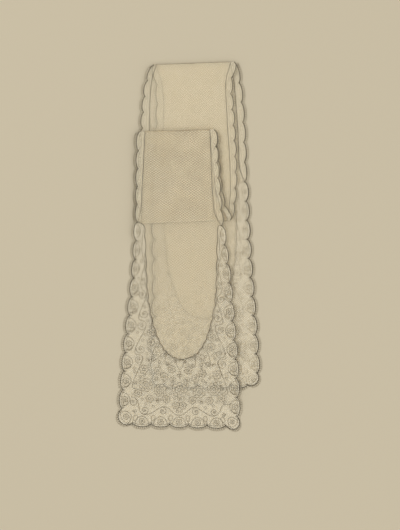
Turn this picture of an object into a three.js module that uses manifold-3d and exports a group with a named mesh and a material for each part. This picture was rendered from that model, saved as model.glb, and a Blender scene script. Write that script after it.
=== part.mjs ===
// A long lace cravat, folded across three times and laid flat. A strip of sheer net has a narrow scalloped
// edging along each side and a deep lace end round each U-shaped tip. From the bottom of the pile up, its four
// stretches are back, neck, turn and front. Each is joined to the next by a soft fold.
// Millimetres, +Z up. The cravat rests on z = 0 and its length lies along Y, with the front end towards -Y.
import * as THREE from "three";
import { mergeVertices } from "three/addons/utils/BufferGeometryUtils.js";
import Module from "manifold-3d";

// Walls and the air between them
const WALL = 1;
const RIDGE = 0.3; // height of the thick thread that outlines an edge, and of the lace's raised flowers
const SEAM_GAP = 0.3; // between two pieces that are sewn together
const LAYER_GAP = 0.3;
const PITCH = WALL + RIDGE + LAYER_GAP; // from one layer's underside to the next one's
const PUFF = 0.6; // largest extra air between two layers
const FOLD_SWELL = 1.4; // extra air where the cloth turns back
const FOLD_SWELL_REACH = 12;
const DRAPE_REACH = 16; // an upper layer stays level this far past the edge of the one below
const DRAPE_FALL = 20; // and comes down over this distance after that

// Edges
const PICOT = 2.8; // band of fine loops outside the outlining thread
const NECK_SCALLOP = 4; // depth of a scallop
const LACE_SCALLOP = 5.4;
const INNER_SCALLOP = 1; // depth of the lace's small scallops against the net
const LEAST_INSET = 1; // width at which the edging and the lace run out where they meet
const TAPER_POWER = 1.8; // how late the edging narrows in its last scallop
const SHOULDER = 1; // inside the notches, where the lace starts to rise to its outlining thread
const NARROW_LACE = 8; // where it is narrower than this it has no flowers
const INNER_SPREAD = 0.09; // how much closer the lace's ribs stand round the tip than along the sides

// Openings in the lace, one above each notch between two scallops
const OPENING_LENGTH = 8;
const OPENING_WIDTH = 5.2;
const OPENING_FROM_NOTCH = 8.5; // to its centre
const OPENING_SIDES = 8;
const FIRST_OPEN_NOTCH = 4; // above it the lace is too narrow for them

// Fineness of the walls
const SCALLOP_STEPS = 5;
const FOLD_STEPS = 6;
const NET_COLUMNS = 4;
const NET_ROWS_PER_SCALLOP = 3;

// Moves the tables' own zero to the middle of the folded cravat
const ORIGIN = { x: -0.35, y: -2.15 };

// The guide lines of a stretch run through the notches of its scallops. A row is one section across the
// stretch: the notch lines at its left and right, and how far inside them the edging is sewn to the net.
const STRETCHES = [
  {
    name: "back",
    scallops: { left: 6, right: 6 },
    lace: "back",
    rows: [
      { leftX: -46.9, leftY: 92.4, leftSeam: 8, rightX: 78.6, rightY: 92.4, rightSeam: 8 },
      { leftX: -44.1, leftY: 163.8, leftSeam: 8, rightX: 76.3, rightY: 163.8, rightSeam: 8 },
      { leftX: -44.5, leftY: 229.6, leftSeam: 8, rightX: 70.7, rightY: 229.6, rightSeam: 8 },
      { leftX: -51, leftY: 254.8, leftSeam: 5, rightX: 65, rightY: 258.7, rightSeam: 7 },
    ],
  },
  {
    name: "neck",
    scallops: { left: 10, right: 10 },
    rows: [
      { leftX: -51, leftY: 254.8, leftSeam: 5, rightX: 65, rightY: 258.7, rightSeam: 7 },
      { leftX: -59.1, leftY: 230, leftSeam: 7.6, rightX: 58.5, rightY: 233, rightSeam: 7 },
      { leftX: -64.6, leftY: 180, leftSeam: 10.6, rightX: 61.5, rightY: 177, rightSeam: 8.3 },
      { leftX: -67, leftY: 130, leftSeam: 10, rightX: 64.2, rightY: 120, rightSeam: 7.4 },
      { leftX: -70.5, leftY: 75, leftSeam: 8, rightX: 63.7, rightY: 75.5, rightSeam: 6.4 },
      { leftX: -72.4, leftY: 35, leftSeam: 6, rightX: 59.1, rightY: 40.5, rightSeam: 5 },
    ],
  },
  {
    name: "turn",
    scallops: { left: 5, right: 6 },
    rows: [
      { leftX: -72.4, leftY: 35, leftSeam: 6, rightX: 59.1, rightY: 40.5, rightSeam: 5 },
      { leftX: -72.3, leftY: 58, leftSeam: 7, rightX: 50.8, rightY: 56, rightSeam: 7 },
      { leftX: -72, leftY: 78, leftSeam: 8, rightX: 45.5, rightY: 76, rightSeam: 8 },
      { leftX: -71.3, leftY: 118, leftSeam: 8, rightX: 40.8, rightY: 120, rightSeam: 8 },
      { leftX: -70.6, leftY: 161, leftSeam: 9, rightX: 36.8, rightY: 163.8, rightSeam: 7.7 },
    ],
  },
  {
    name: "front",
    scallops: { left: 5, right: 6 },
    lace: "front",
    rows: [
      { leftX: -72.4, leftY: 36.4, leftSeam: 6, rightX: 45.9, rightY: 31.2, rightSeam: 9.5 },
      { leftX: -72.4, leftY: 60, leftSeam: 6.2, rightX: 44.2, rightY: 53.9, rightSeam: 9.8 },
      { leftX: -71.6, leftY: 112, leftSeam: 8, rightX: 39.4, rightY: 112, rightSeam: 8 },
      { leftX: -70.6, leftY: 161, leftSeam: 9.4, rightX: 36.8, rightY: 163.8, rightSeam: 7.7 },
    ],
  },
];

// A lace end: the notch lines of its two sides from where it starts down to the notch before the corner, the
// first and last notch of its bottom edge, and the axis of the U-shaped tip of net inside it.
const LACES = {
  back: {
    sides: [
      { leftX: -46.9, leftY: 92.4, rightX: 78.6, rightY: 92.4 },
      { leftX: -48, leftY: 15.4, rightX: 82, rightY: 15.4 },
      { leftX: -47.2, leftY: -60, rightX: 87.2, rightY: -60 },
      { leftX: -49, leftY: -128, rightX: 92.7, rightY: -128 },
      { leftX: -49.4, leftY: -176.8, rightX: 95.4, rightY: -175 },
    ],
    bottom: { leftX: -35, leftY: -191.5, rightX: 82, rightY: -191.8 },
    axis: { startX: 14.5, startY: 92.4, tipX: 18.5 },
    cornerLobe: 9.5,
    columns: [],
  },
  front: {
    sides: [
      { leftX: -72.4, leftY: 36.4, rightX: 45.9, rightY: 31.2 },
      { leftX: -74.2, leftY: -2, rightX: 50, rightY: -1.4 },
      { leftX: -77.5, leftY: -45, rightX: 55.5, rightY: -45 },
      { leftX: -83.6, leftY: -100, rightX: 60, rightY: -100 },
      { leftX: -89.2, leftY: -153, rightX: 65, rightY: -160 },
      { leftX: -94.1, leftY: -224.6, rightX: 67.8, rightY: -235.6 },
    ],
    bottom: { leftX: -79.2, leftY: -245.6, rightX: 51.4, rightY: -248.6 },
    axis: { startX: -11, startY: 34, tipX: -9.2 },
    cornerLobe: 14,
    columns: [0.36, 0.7],
  },
};
const SIDE_SCALLOPS = 10;
const BOTTOM_SCALLOPS = 5;
const LACE_SCALLOPS = 2 * SIDE_SCALLOPS + BOTTOM_SCALLOPS + 2;

// Half of the U-shaped tip of net: its half width at each distance below the start of the lace.
const TIP = [
  { below: 3, half: 52 },
  { below: 12, half: 51.6 },
  { below: 36, half: 51 },
  { below: 62, half: 50.4 },
  { below: 84, half: 49.6 },
  { below: 106, half: 48 },
  { below: 124, half: 45.2 },
  { below: 140, half: 41.6 },
  { below: 154, half: 37.4 },
  { below: 165, half: 33 },
  { below: 175, half: 27.4 },
  { below: 183, half: 20.4 },
  { below: 187.6, half: 12.5 },
  { below: 189.7, half: 5 },
];
const TIP_LENGTH = 190;

const point = (x, y, z = 0) => new THREE.Vector3(x + ORIGIN.x, y + ORIGIN.y, z);
const curveThrough = (points) => new THREE.CatmullRomCurve3(points, false, "centripetal");
const sidePoints = (rows, side) => rows.map((row) => point(row[`${side}X`], row[`${side}Y`]));
const smoothstep = (value) => THREE.MathUtils.smoothstep(value, 0, 1);
const lerp = THREE.MathUtils.lerp;

for (const stretch of STRETCHES) {
  stretch.left = curveThrough(sidePoints(stretch.rows, "left"));
  stretch.right = curveThrough(sidePoints(stretch.rows, "right"));
}
const [BACK, NECK, TURN, FRONT] = STRETCHES;

// Where one stretch turns into the next: the line of the fold, as a point, the way along it and the way out.
function foldLine(row, awayY) {
  const start = point(row.leftX, row.leftY);
  const along = point(row.rightX, row.rightY).sub(start).normalize();
  return { start, along, out: new THREE.Vector3(-along.y * awayY, along.x * awayY, 0) };
}
const FOLDS = [foldLine(BACK.rows.at(-1), 1), foldLine(NECK.rows.at(-1), -1), foldLine(TURN.rows.at(-1), 1)];

// The plan of each layer that another one lies on, for draping.
const PLANS = [
  { rows: [...LACES.back.sides].reverse().concat(BACK.rows), top: FOLDS[0], bottomY: -191.6 + ORIGIN.y },
  { rows: [...NECK.rows].reverse(), top: FOLDS[0], bottom: FOLDS[1] },
  { rows: TURN.rows, top: FOLDS[2], bottom: FOLDS[1] },
];

// How far (x, y) is inside the notch line of one side of a plan, with rows from the bottom up.
function insideSide(rows, side, x, y) {
  const points = sidePoints(rows, side);
  let next = points.findIndex((candidate) => candidate.y > y);
  if (next < 0) next = points.length - 1;
  if (next === 0) next = 1;
  const [low, high] = [points[next - 1], points[next]];
  const share = THREE.MathUtils.clamp((y - low.y) / Math.max(high.y - low.y, 1e-6), 0, 1);
  const edge = lerp(low.x, high.x, share);
  return side === "left" ? x - edge : edge - x;
}

const pastFold = (fold, x, y) => (x - fold.start.x) * fold.out.x + (y - fold.start.y) * fold.out.y;

// 1 on a layer and close round it, falling to 0 further out.
function cover(layer, x, y) {
  const plan = PLANS[layer];
  const inside = Math.min(
    insideSide(plan.rows, "left", x, y),
    insideSide(plan.rows, "right", x, y),
    -pastFold(plan.top, x, y),
    plan.bottom ? -pastFold(plan.bottom, x, y) : y - plan.bottomY,
  );
  return smoothstep((inside + DRAPE_REACH + DRAPE_FALL) / DRAPE_FALL);
}

// Soft unevenness of the air above a layer, from 0 to 1.
const ripple = (layer, x, y) =>
  0.5 + 0.25 * Math.sin(x / 19 + y / 47 + 1.7 * layer) + 0.25 * Math.sin(y / 29 - x / 61 + 2.3 * layer);

// Height of a layer's underside: the floor, plus every layer below it and the air on that one.
function level(layer, x, y) {
  let height = 0;
  for (let below = 0; below < layer; below += 1) {
    const fromFold = pastFold(FOLDS[below], x, y) / FOLD_SWELL_REACH;
    const air = PUFF * ripple(below, x, y) + FOLD_SWELL * Math.exp(-fromFold * fromFold);
    height += cover(below, x, y) * (PITCH + air);
  }
  return height;
}

// The two faces of a wall at a point of a layer: outer is its underside, inner its top.
function flatWall(layer, place, ridge = 0) {
  const low = level(layer, place.x, place.y);
  return {
    outer: new THREE.Vector3(place.x, place.y, low),
    inner: new THREE.Vector3(place.x, place.y, low + WALL + ridge),
  };
}

// The same at a point of the fold between a layer and the next, turned by angle from lower to upper layer.
function foldWall(layer, place, angle) {
  const low = level(layer, place.x, place.y) + WALL / 2;
  const high = level(layer + 1, place.x, place.y) + WALL / 2;
  const radius = (high - low) / 2;
  const outward = FOLDS[layer].out.clone().multiplyScalar(Math.sin(angle));
  outward.z = -Math.cos(angle);
  const centre = new THREE.Vector3(place.x, place.y, low + radius);
  return {
    outer: centre.clone().addScaledVector(outward, radius + WALL / 2),
    inner: centre.clone().addScaledVector(outward, radius - WALL / 2),
  };
}

// A closed wall from rows of face pairs.
function wallGeometry(rows) {
  const columns = rows[0].length;
  const positions = [];
  for (const face of ["outer", "inner"]) {
    for (const row of rows) for (const pair of row) positions.push(...pair[face].toArray());
  }
  const innerStart = rows.length * columns;
  const at = (row, column) => row * columns + column;
  const index = [];
  const quad = (a, b, c, d) => index.push(a, b, c, a, c, d);
  for (let row = 0; row + 1 < rows.length; row += 1) {
    for (let column = 0; column + 1 < columns; column += 1) {
      const [a, b, c, d] = [at(row, column), at(row, column + 1), at(row + 1, column + 1), at(row + 1, column)];
      quad(a, b, c, d);
      quad(innerStart + d, innerStart + c, innerStart + b, innerStart + a);
    }
  }
  const rim = [];
  for (let column = 0; column + 1 < columns; column += 1) rim.push(at(0, column));
  for (let row = 0; row + 1 < rows.length; row += 1) rim.push(at(row, columns - 1));
  for (let column = columns - 1; column > 0; column -= 1) rim.push(at(rows.length - 1, column));
  for (let row = rows.length - 1; row > 0; row -= 1) rim.push(at(row, 0));
  rim.forEach((a, place) => {
    const b = rim[(place + 1) % rim.length];
    quad(b, a, innerStart + a, innerStart + b);
  });
  const geometry = new THREE.BufferGeometry();
  geometry.setAttribute("position", new THREE.Float32BufferAttribute(positions, 3));
  geometry.setIndex(signedVolume(positions, index) < 0 ? index.reverse() : index);
  return geometry;
}

function signedVolume(positions, index) {
  const corner = (place) => new THREE.Vector3().fromArray(positions, 3 * index[place]);
  let sum = 0;
  for (let face = 0; face < index.length; face += 3) {
    sum += corner(face).dot(corner(face + 1).cross(corner(face + 2)));
  }
  return sum / 6;
}

// Places along one scallop, closer together at its two notches.
const SCALLOP_PLACES = Array.from({ length: SCALLOP_STEPS }, (_, step) => {
  return (1 - Math.cos((Math.PI * step) / SCALLOP_STEPS)) / 2;
});
const roundness = (place) => 2 * Math.sqrt(Math.max(place * (1 - place), 0));

// Every place along a run of scallops: which scallop, the place in it and the share of the whole run.
function scallopRun(count) {
  const run = [];
  for (let scallop = 0; scallop < count; scallop += 1) {
    for (const place of SCALLOP_PLACES) run.push({ scallop, place, share: (scallop + place) / count });
  }
  run.push({ scallop: count - 1, place: 1, share: 1 });
  return run;
}

// How far inside the notch line the edging is sewn on. It runs out at the notch where the lace starts.
function seamInset(stretch, side, share) {
  const rows = stretch.rows;
  const spot = share * (rows.length - 1);
  const row = Math.min(Math.floor(spot), rows.length - 2);
  const inset = lerp(rows[row][`${side}Seam`], rows[row + 1][`${side}Seam`], spot - row);
  if (!stretch.lace) return inset;
  const toLace = Math.min(share * stretch.scallops[side], 1);
  return Math.max(inset * (1 - (1 - toLace) ** TAPER_POWER), LEAST_INSET);
}

// A section across a stretch: its two notches and the way from the given side to the other.
function section(stretch, side, share) {
  const here = stretch[side].getPointAt(share);
  const there = stretch[side === "left" ? "right" : "left"].getPointAt(share);
  return { here, inward: there.clone().sub(here).normalize(), width: there.distanceTo(here) };
}
const inwards = ({ here, inward }, distance) => here.clone().addScaledVector(inward, distance);

// Share of a stretch's length that a gap takes off one end, where it meets the piece before or after it.
const trimmed = (stretch, side, share, gap) => {
  const cut = gap / stretch[side].getLength();
  return THREE.MathUtils.clamp(share, cut, stretch === FRONT ? 1 - 2 * cut : 1);
};

// Sections of a stretch in order along the cloth, ending with those of its fold. The columns of a section
// are given by a function of its share of the length.
function stretchRows(stretch, side, shares, columnsAt) {
  const layer = STRETCHES.indexOf(stretch);
  const rows = shares.map((share) => {
    const kept = trimmed(stretch, side, share, stretch.lace ? SEAM_GAP / 2 : SEAM_GAP);
    const across = section(stretch, side, kept);
    return columnsAt(share, across).map(({ inset, ridge }) => flatWall(layer, inwards(across, inset), ridge));
  });
  if (stretch === FRONT) return rows;
  const last = section(stretch, side, 1);
  for (let step = 1; step <= FOLD_STEPS; step += 1) {
    const angle = (Math.PI * step) / FOLD_STEPS;
    rows.push(columnsAt(1, last).map(({ inset }) => foldWall(layer, inwards(last, inset), angle)));
  }
  return rows;
}

function edging(stretch, side) {
  const run = scallopRun(stretch.scallops[side]);
  const depthAt = new Map(run.map(({ place, share }) => [share, NECK_SCALLOP * roundness(place)]));
  return stretchRows(stretch, side, [...depthAt.keys()], (share) => {
    const cord = -depthAt.get(share);
    return [
      { inset: seamInset(stretch, side, share) - SEAM_GAP / 2, ridge: 0 },
      { inset: cord, ridge: RIDGE },
      { inset: cord - PICOT, ridge: 0 },
    ];
  });
}

// Columns across the net, from seam to seam.
function netColumns(stretch, share, across) {
  const left = seamInset(stretch, "left", share) + SEAM_GAP / 2;
  const right = across.width - seamInset(stretch, "right", share) - SEAM_GAP / 2;
  return Array.from({ length: NET_COLUMNS + 1 }, (_, column) => ({
    inset: lerp(left, right, column / NET_COLUMNS),
    ridge: 0,
  }));
}

// The U-shaped edge between lace and net, from the left start of the lace round the tip to the right.
function tipCurve(lace) {
  const { startX, startY, tipX } = lace.axis;
  const axisAt = (below) => lerp(startX, tipX, below / TIP_LENGTH);
  const half = (sign) => TIP.map(({ below, half }) => point(axisAt(below) + sign * half, startY - below));
  const [start] = lace.sides;
  return curveThrough([
    point(start.leftX + LEAST_INSET, start.leftY),
    ...half(-1),
    point(tipX, startY - TIP_LENGTH),
    ...half(1).reverse(),
    point(start.rightX - LEAST_INSET, start.rightY),
  ]);
}

// A point of that edge, moved into the net by a gap and by its small scallops, which fade at its ends and tip.
function tipPoint(lace, share, place, gap) {
  const along = THREE.MathUtils.clamp(share + INNER_SPREAD * Math.sin(2 * Math.PI * share), 0, 1);
  const edge = lace.tip.getPointAt(along);
  const tangent = lace.tip.getTangentAt(along);
  const intoNet = new THREE.Vector3(-tangent.y, tangent.x, 0);
  const fromTip = Math.abs(share - 0.5);
  const depth = INNER_SCALLOP * smoothstep(Math.min(share, 1 - share, fromTip / 2) * LACE_SCALLOPS);
  return edge.addScaledVector(intoNet, depth * 4 * place * (1 - place) + gap);
}

// Notches of a lace end, from its left start round the bottom to its right start.
function laceNotches(lace) {
  const { leftX, leftY, rightX, rightY } = lace.bottom;
  const side = (name) => curveThrough(sidePoints(lace.sides, name)).getSpacedPoints(SIDE_SCALLOPS);
  const bottom = Array.from({ length: BOTTOM_SCALLOPS + 1 }, (_, notch) =>
    point(leftX, leftY).lerp(point(rightX, rightY), notch / BOTTOM_SCALLOPS),
  );
  return [...side("left"), ...bottom, ...side("right").reverse()];
}

for (const lace of Object.values(LACES)) {
  lace.tip = tipCurve(lace);
  lace.notches = laceNotches(lace);
}

// Edge of the lace at a place in one of its scallops: the straight line between its notches, the way out from
// it, and how far the scallop stands out there.
function laceEdge(lace, scallop, place) {
  const [from, to] = [lace.notches[scallop], lace.notches[scallop + 1]];
  const along = to.clone().sub(from).normalize();
  const isCorner = scallop === SIDE_SCALLOPS || scallop === SIDE_SCALLOPS + BOTTOM_SCALLOPS + 1;
  return {
    chord: from.clone().lerp(to, place),
    out: new THREE.Vector3(along.y, -along.x, 0),
    depth: (isCorner ? lace.cornerLobe : LACE_SCALLOP) * roundness(place),
  };
}

function laceEnd(lace, layer) {
  const run = scallopRun(LACE_SCALLOPS);
  const across = lace.notches.at(-1).clone().sub(lace.notches[0]).normalize();
  return run.map(({ scallop, place, share }, row) => {
    const { chord, out, depth } = laceEdge(lace, scallop, place);
    const inner = tipPoint(lace, share, place, -SEAM_GAP / 2);
    if (row === 0 || row === run.length - 1) {
      out.copy(across).multiplyScalar(row === 0 ? -1 : 1);
      inner.copy(chord).addScaledVector(out, SEAM_GAP / 2 - LEAST_INSET);
      for (const end of [inner, chord]) end.y -= SEAM_GAP / 2;
    }
    const width = inner.distanceTo(chord) + depth;
    const raised = RIDGE * smoothstep(width / NARROW_LACE - 1);
    const flower = raised * 4 * place * (1 - place);
    const beyond = (distance) => chord.clone().addScaledVector(out, distance);
    const columns = [
      { spot: inner, ridge: raised },
      ...lace.columns.map((at, column) => ({
        spot: inner.clone().lerp(chord, at),
        ridge: column % 2 ? raised - flower : flower,
      })),
      { spot: beyond(-Math.min(SHOULDER, width / 8)), ridge: 0 },
      { spot: beyond(depth), ridge: RIDGE },
      { spot: beyond(depth + PICOT), ridge: 0 },
    ];
    return columns.map(({ spot, ridge }) => flatWall(layer, spot, ridge));
  });
}

// Rows of net inside the U, from the start of the lace to the tip.
function tipRows(lace, layer) {
  const half = scallopRun(LACE_SCALLOPS).filter(({ share }) => share < 0.5);
  return half.map(({ place, share }) => {
    const left = tipPoint(lace, share, place, SEAM_GAP / 2);
    const right = tipPoint(lace, 1 - share, 1 - place, SEAM_GAP / 2);
    return Array.from({ length: NET_COLUMNS + 1 }, (_, column) =>
      flatWall(layer, left.clone().lerp(right, column / NET_COLUMNS)),
    );
  });
}

function net(stretch) {
  const layer = STRETCHES.indexOf(stretch);
  const count = NET_ROWS_PER_SCALLOP * Math.max(stretch.scallops.left, stretch.scallops.right);
  const shares = Array.from({ length: count + 1 }, (_, row) => row / count);
  const rows = stretchRows(stretch, "left", shares, (share, across) => netColumns(stretch, share, across));
  if (!stretch.lace) return rows;
  return [...tipRows(LACES[stretch.lace], layer).slice(1).reverse(), ...rows];
}

const wasm = await Module();
wasm.setup();

// A closed mesh as a solid, and back.
function solidOf(geometry) {
  const plain = geometry.clone();
  plain.deleteAttribute("normal");
  plain.deleteAttribute("uv");
  const merged = mergeVertices(plain, 1e-5);
  const vertProperties = new Float32Array(merged.attributes.position.array);
  const triVerts = new Uint32Array(merged.index.array);
  return new wasm.Manifold(new wasm.Mesh({ numProp: 3, vertProperties, triVerts }));
}

function geometryOf(solid) {
  const { vertProperties, triVerts } = solid.getMesh();
  const geometry = new THREE.BufferGeometry();
  geometry.setAttribute("position", new THREE.BufferAttribute(new Float32Array(vertProperties), 3));
  geometry.setIndex(new THREE.BufferAttribute(new Uint32Array(triVerts), 1));
  return geometry;
}

// A prism through the lace above a notch, drop-shaped with its point towards the notch.
function openingTool(lace, notch) {
  const toolHeight = 40;
  const inward = tipPoint(lace, notch / LACE_SCALLOPS, 0, 0).sub(lace.notches[notch]).normalize();
  const outline = new THREE.Shape();
  for (let side = 0; side < OPENING_SIDES; side += 1) {
    const turn = (2 * Math.PI * side) / OPENING_SIDES;
    const narrowing = 0.75 - 0.25 * Math.cos(turn);
    const x = (-OPENING_LENGTH / 2) * Math.cos(turn);
    const y = (OPENING_WIDTH / 2) * narrowing * Math.sin(turn) * 1.25;
    if (side === 0) outline.moveTo(x, y);
    else outline.lineTo(x, y);
  }
  const prism = new THREE.ExtrudeGeometry(outline, { depth: toolHeight, bevelEnabled: false, steps: 1 });
  const centre = lace.notches[notch].clone().addScaledVector(inward, OPENING_FROM_NOTCH);
  const turn = new THREE.Matrix4().makeRotationZ(Math.atan2(inward.y, inward.x));
  return prism.applyMatrix4(turn).translate(centre.x, centre.y, -toolHeight / 2);
}

function piercedLace(lace, layer) {
  let solid = solidOf(wallGeometry(laceEnd(lace, layer)));
  for (let notch = FIRST_OPEN_NOTCH; notch <= LACE_SCALLOPS - FIRST_OPEN_NOTCH; notch += 1) {
    solid = solid.subtract(solidOf(openingTool(lace, notch)));
  }
  const [largest] = solid.decompose().sort((a, b) => b.volume() - a.volume());
  return geometryOf(largest);
}

const netCloth = new THREE.MeshStandardMaterial({ color: 0xcdbf9f, roughness: 0.9, metalness: 0 });
const edgingLace = new THREE.MeshStandardMaterial({ color: 0xd6cab0, roughness: 0.85, metalness: 0 });
const endLace = new THREE.MeshStandardMaterial({ color: 0xdcd2ba, roughness: 0.85, metalness: 0 });

const cravat = new THREE.Group();
function addPiece(name, geometry, material) {
  const mesh = new THREE.Mesh(geometry, material);
  mesh.name = name;
  cravat.add(mesh);
}

for (const stretch of STRETCHES) {
  addPiece(`net_${stretch.name}`, wallGeometry(net(stretch)), netCloth);
  for (const side of ["left", "right"]) {
    addPiece(`edging_${side}_${stretch.name}`, wallGeometry(edging(stretch, side)), edgingLace);
  }
}
addPiece("lace_back", piercedLace(LACES.back, 0), endLace);
addPiece("lace_front", piercedLace(LACES.front, STRETCHES.length - 1), endLace);

export default cravat;
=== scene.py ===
"""A long lace cravat, folded across three times and laid flat: sheer net, narrow edgings and deep lace ends.

Sizes are in millimetres in the tables and become metres where a mesh is made. Left and right are as seen from
above with the front end nearest.
"""

import math

import bmesh
import bpy
import numpy as np
from mathutils import Matrix, Vector


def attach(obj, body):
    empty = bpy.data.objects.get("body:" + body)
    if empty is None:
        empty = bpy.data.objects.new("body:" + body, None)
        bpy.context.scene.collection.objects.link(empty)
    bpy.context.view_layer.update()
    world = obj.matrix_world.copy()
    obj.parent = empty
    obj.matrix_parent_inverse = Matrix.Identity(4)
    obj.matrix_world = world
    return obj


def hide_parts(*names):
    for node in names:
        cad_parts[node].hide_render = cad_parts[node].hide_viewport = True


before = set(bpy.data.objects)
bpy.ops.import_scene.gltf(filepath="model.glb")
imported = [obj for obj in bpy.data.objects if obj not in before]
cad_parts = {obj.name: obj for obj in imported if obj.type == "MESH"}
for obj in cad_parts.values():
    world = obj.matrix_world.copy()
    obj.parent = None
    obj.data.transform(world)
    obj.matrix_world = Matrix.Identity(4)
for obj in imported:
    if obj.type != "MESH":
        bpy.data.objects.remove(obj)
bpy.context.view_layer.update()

MM = 0.001
ORIGIN = np.array([-0.35, -2.15])  # where the zero of the tables lies
DOWN = np.array([0.0, -1.0])
SIDES = ("left", "right")

# Layers
WALL = 1.0
PITCH = 1.6  # from the underside of one layer to the next
PUFF = 0.6  # air between them, at most
FOLD_SWELL = 1.4  # more room at a fold
FOLD_SWELL_REACH = 12
FOLD_RUN = 6.0  # length of cloth that goes round a fold
ROUND_FOLD = np.linspace(0, 1, 9)[1:]  # its steps
DRAPE_REACH = 16  # how far past a layer's edge the cloth above it stays up
DRAPE_FALL = 20  # and how far it then takes to come down
CREASE_BEND = 260  # a soft ridge curves by the square of its length over this

# Edges
PICOT = 2.8  # how far the fine loops reach
NECK_SCALLOP = 4  # depth of the narrow edging's scallops
LACE_SCALLOP = 5.4  # and of a lace end's
INNER_SCALLOP = 1.7  # and of its seam's
LEAST_INSET = 1  # of the edging's seam from the line of the notches
TAPER_POWER = 1.8  # of the edging where it meets the lace
INNER_SPREAD = 0.09  # how much the seam's scallops crowd at the bottom
BODY = 0.9  # share of a lace end's cloth that lies inside the line of its notches

# Openings above the notches of a lace end
OPENING_LENGTH = 8
OPENING_WIDTH = 5.2
OPENING_FROM_NOTCH = 8.5
FIRST_OPEN_NOTCH = 4
RIM_GAP = 0.25  # from an opening to its rim thread

# Cloth and threads, each thread by its radius
FILM = 0.12  # thickness of the fine net
NET_STEPS = (2.7, 1.9, 3.2, 3.3)  # between the net's heavier threads, from the back to the front
NET_LEAN = math.radians(48)  # of the threads from the length of the cravat
LEAN_BY_LAYER = 0.06  # radians more on each layer above the neck
THREAD_WAVER = 0.12
WAVER_LENGTH = 6.1
SHORT_OF_TIP = 1.2  # from the net's last row to the end of the tip
FOLD_SHADE_PLACES = (0.34, 0.5, 0.66)  # places round a fold of the dark cross threads, which paint the fold's shade
GROUND_STEP = 2.4  # between the heavier threads of the lace ground
NET_THREAD = 0.08
# radius of the dark threads that paint a fold's shade
FOLD_SHADE_THREAD = 0.2
CORD = 0.43  # outlines the edges
BACK_CORD = 0.54  # the same on the back lace, to show through the front one
BORDER = 1.3  # from that thread to the edge, where the loops start
SEAM_CORD = 0.27
TIP_SEAM_CORD = 0.35
BACK_TIP_SEAM_CORD = 0.2
INNER_CORD = 0.19
RIM_CORD = 0.22
MOTIF_CORD = 0.2
STEM_CORD = 0.26
PICOT_THREAD = 0.15
PICOT_STEP = 3.4
PICOT_SLACK = (1.12, 1.2)  # length of the narrow edging and of the lace's over the line of their notches
LOOP_POINTS = 10
LOOP_LEAN = 1.1  # swing of a loop along the edge

# Meshes
NET_GRID = (28, 5)  # columns, and mm from row to row
NET_THREAD_STEP = 3.6
GROUND_THREAD_STEP = 1.1
EDGING_GRID = (4, 8)  # columns, and rows in a scallop
LACE_GRID = (20, 8)
LINE_STEPS = 12  # in a scallop of the narrow edging
LACE_LINE_STEPS = 14
SEAM_STEPS = 8

# The narrow edging
EDGING_WIDTH = 14.5  # flat, at its widest
SPRIG_SPOTS = ((0.5, 1.5), (0.3, 0.95), (0.7, 0.95))  # place in a scallop and radius
LEAST_DEPTH_FOR_SPRIG = 3
LEAST_PITCH_FOR_WAVE = 12
INNER_LINE = 0.72  # its place from the seam to the edge, and the wave's

# The border of a lace end
ROUND_NOTCHES = (20, 12)  # width and length of its scallops and loops beyond the notches
SECOND_LINE = (-3.4, 0.84)  # beyond the edge, and its fullness
SEAM_LOOPS = -1.7  # beyond the seam
BARS = 7  # in a scallop
PAD_HEIGHT = 0.5
PAD_TAPER = 0.78

STRETCHES = [
    # leftX, leftY, left seam, rightX, rightY, right seam
    dict(name="back", scallops=(6, 6), lace="back", rows=[
        (-46.9, 92.4, 8, 78.6, 92.4, 8),
        (-44.1, 163.8, 8, 76.3, 163.8, 8),
        (-44.5, 229.6, 8, 70.7, 229.6, 8),
        (-51, 254.8, 5, 65, 258.7, 7),
    ]),
    dict(name="neck", scallops=(10, 10), lace=None, rows=[
        (-51, 254.8, 5, 65, 258.7, 7),
        (-59.1, 230, 7.6, 58.5, 233, 7),
        (-64.6, 180, 10.6, 61.5, 177, 8.3),
        (-67, 130, 10, 64.2, 120, 7.4),
        (-70.5, 75, 8, 63.7, 75.5, 6.4),
        (-72.4, 35, 6, 59.1, 40.5, 5),
    ]),
    dict(name="turn", scallops=(5, 6), lace=None, rows=[
        (-72.4, 35, 6, 59.1, 40.5, 5),
        (-72.3, 58, 7, 50.8, 56, 7),
        (-72, 78, 8, 45.5, 76, 8),
        (-71.3, 118, 8, 40.8, 120, 8),
        (-70.6, 161, 9, 36.8, 163.8, 7.7),
    ]),
    dict(name="front", scallops=(5, 6), lace="front", rows=[
        (-72.4, 36.4, 6, 45.9, 31.2, 9.5),
        (-72.4, 60, 6.2, 44.2, 53.9, 9.8),
        (-71.6, 112, 8, 39.4, 112, 8),
        (-70.6, 161, 9.4, 36.8, 163.8, 7.7),
    ]),
]

# Sides as leftX, leftY, rightX, rightY; bottom the same for its first and last notch; axis of the U-shaped
# tip as its start and the x of its end; scale of its large flowers.
LACES = {
    "back": dict(
        sides=[
            (-46.9, 92.4, 78.6, 92.4),
            (-48, 15.4, 82, 15.4),
            (-47.2, -60, 87.2, -60),
            (-49, -128, 92.7, -128),
            (-49.4, -176.8, 95.4, -175),
        ],
        bottom=(-35, -191.5, 82, -191.8), axis=(14.5, 92.4, 18.5), corner_lobe=9.5, scale=0.82,
    ),
    "front": dict(
        sides=[
            (-72.4, 36.4, 45.9, 31.2),
            (-74.2, -2, 50, -1.4),
            (-77.5, -45, 55.5, -45),
            (-83.6, -100, 60, -100),
            (-89.2, -153, 65, -160),
            (-94.1, -224.6, 67.8, -235.6),
        ],
        bottom=(-79.2, -245.6, 51.4, -248.6), axis=(-11, 34, -9.2), corner_lobe=14, scale=1.0,
    ),
}
SIDE_SCALLOPS = 10
BOTTOM_SCALLOPS = 5
LACE_SCALLOPS = 2 * SIDE_SCALLOPS + BOTTOM_SCALLOPS + 2
CORNERS = (SIDE_SCALLOPS, SIDE_SCALLOPS + BOTTOM_SCALLOPS + 1)

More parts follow.
